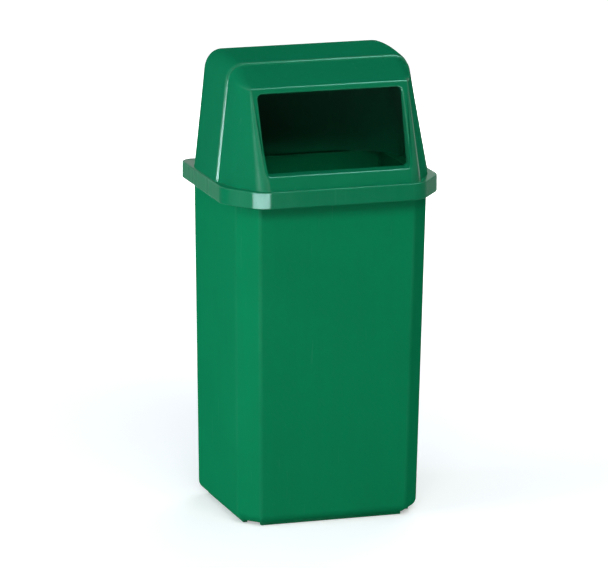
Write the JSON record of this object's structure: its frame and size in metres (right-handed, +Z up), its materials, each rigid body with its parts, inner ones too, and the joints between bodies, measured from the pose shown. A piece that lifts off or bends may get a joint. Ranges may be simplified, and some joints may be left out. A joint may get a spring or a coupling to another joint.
{
  "type": "wall-mounted litter bin",
  "caption": "Tall green plastic litter bin that hooks on a steel wall rail: a tapered tub under a hooded lift-off cover with a wide, leaning front mouth.",
  "frame": {"origin": "centre of the wall rail's back face, on the wall", "axes": "+Z up, +Y into the wall, -Y out into the room through the mouth, +X to the right when facing the bin"},
  "size_m": [0.38, 0.3095, 0.78],
  "materials": {
    "tub_plastic": "semi-gloss moulded green plastic",
    "hood_plastic": "semi-gloss moulded green plastic, glossier than the tub",
    "zinc_plate": "dull zinc-plated sheet",
    "bright_steel": "bright zinc-plated fasteners",
    "black_rubber": "matte black rubber"
  },
  "bodies": {
    "rail": {"wall_rail": "zinc_plate"},
    "bin": {"tub": "tub_plastic", "tub_hanger": "zinc_plate", "hanger_screw_1": "bright_steel", "hanger_screw_2": "bright_steel", "hanger_screw_3": "bright_steel", "hanger_screw_4": "bright_steel", "hanger_washer_1": "bright_steel", "hanger_washer_2": "bright_steel", "hanger_washer_3": "bright_steel", "hanger_washer_4": "bright_steel", "hanger_nut_1": "bright_steel", "hanger_nut_2": "bright_steel", "hanger_nut_3": "bright_steel", "hanger_nut_4": "bright_steel", "wall_buffer_1": "black_rubber", "wall_buffer_2": "black_rubber"},
    "cover": {"hood": "hood_plastic"}
  },
  "joints": [
    {"name": "tub_lift", "type": "slide", "parent": "rail", "child": "bin", "axis": [0, 0, 1], "range_m": [0, 0.032]},
    {"name": "hood_lift", "type": "slide", "parent": "bin", "child": "cover", "axis": [0, 0, 1], "range_m": [0, 0.06]}
  ]
}
